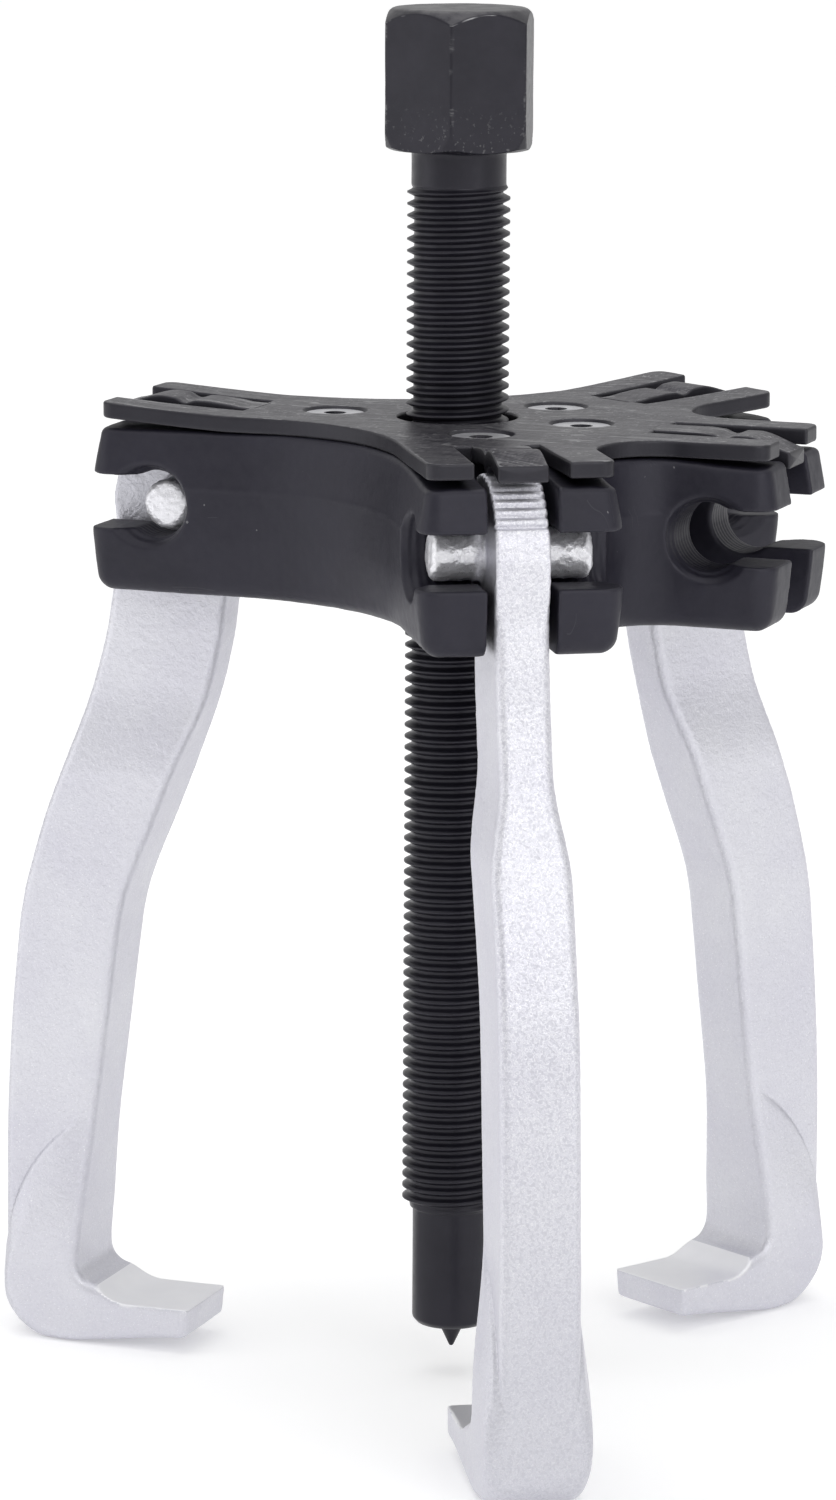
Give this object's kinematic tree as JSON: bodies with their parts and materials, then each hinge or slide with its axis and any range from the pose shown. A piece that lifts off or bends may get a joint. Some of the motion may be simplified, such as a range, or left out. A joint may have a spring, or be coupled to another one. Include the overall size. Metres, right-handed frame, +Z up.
{
  "type": "gear puller",
  "caption": "Quick-adjusting jaw puller: forged four-way crosshead, spring locking plate, hinged hook legs with detent teeth and a forcing spindle with hexagon head.",
  "frame": {"origin": "on the spindle axis, at the flat end face of the spindle's nose, where the puller pushes on a shaft", "axes": "+Z up the spindle towards the hexagon head, +X along the empty fourth arm of the crosshead, legs at azimuths 60, 180 and 300 degrees"},
  "size_m": [0.1812, 0.1912, 0.2991],
  "materials": {
    "forged_black": "blackened forged steel, satin",
    "plate_black": "blackened spring steel, lightly brushed and scratched",
    "spindle_black": "black oxide, lightly oiled",
    "leg_zinc": "bright zinc on a shot-blasted forging",
    "screw_zinc": "zinc plated, satin",
    "bright_steel": "ground bearing steel"
  },
  "bodies": {
    "crosshead": {"crosshead": "forged_black", "locking_plate": "plate_black", "plate_screw_left": "screw_zinc", "plate_screw_front": "screw_zinc", "plate_screw_right": "screw_zinc", "plate_screw_empty": "screw_zinc"},
    "point": {"centre_point": "spindle_black", "thrust_ball": "bright_steel"},
    "screw": {"spindle": "spindle_black", "retaining_ring": "bright_steel"},
    "latch_left": {"tongue_left": "plate_black"},
    "latch_front": {"tongue_front": "plate_black"},
    "latch_right": {"tongue_right": "plate_black"},
    "latch_empty": {"tongue_empty": "plate_black"},
    "jaw_left": {"leg_left": "leg_zinc"},
    "jaw_front": {"leg_front": "leg_zinc"},
    "jaw_right": {"leg_right": "leg_zinc"}
  },
  "joints": [
    {"name": "feed", "type": "slide", "parent": "crosshead", "child": "point", "axis": [0, 0, 1], "range_m": [-0.0489, 0.1298]},
    {"name": "turn", "type": "hinge", "parent": "point", "child": "screw", "pos_m": [0, 0, 0], "axis": [0, 0, 1], "range_deg": [-7150, 18900]},
    {"name": "swing_left", "type": "hinge", "parent": "crosshead", "child": "jaw_left", "pos_m": [-0.0606, 0, 0.1802], "axis": [0, 1, 0], "range_deg": [-14, 55]},
    {"name": "swing_front", "type": "hinge", "parent": "crosshead", "child": "jaw_front", "pos_m": [0.0303, -0.05248, 0.1802], "axis": [-0.866, -0.5, 0], "range_deg": [-14, 55]},
    {"name": "swing_right", "type": "hinge", "parent": "crosshead", "child": "jaw_right", "pos_m": [0.0303, 0.05248, 0.1802], "axis": [0.866, -0.5, 0], "range_deg": [-14, 55]},
    {"name": "flex_left", "type": "hinge", "parent": "crosshead", "child": "latch_left", "pos_m": [-0.046, 0, 0.19875], "axis": [0, 1, 0], "range_deg": [0, 4]},
    {"name": "flex_front", "type": "hinge", "parent": "crosshead", "child": "latch_front", "pos_m": [0.023, -0.03984, 0.19875], "axis": [-0.866, -0.5, 0], "range_deg": [0, 4]},
    {"name": "flex_right", "type": "hinge", "parent": "crosshead", "child": "latch_right", "pos_m": [0.023, 0.03984, 0.19875], "axis": [0.866, -0.5, 0], "range_deg": [0, 4]},
    {"name": "flex_empty", "type": "hinge", "parent": "crosshead", "child": "latch_empty", "pos_m": [0.046, 0, 0.19875], "axis": [0, -1, 0], "range_deg": [0, 8]}
  ],
  "couplings": [
    {"joint": "turn", "follows": "feed", "rad_per_m": 2513.3}
  ]
}
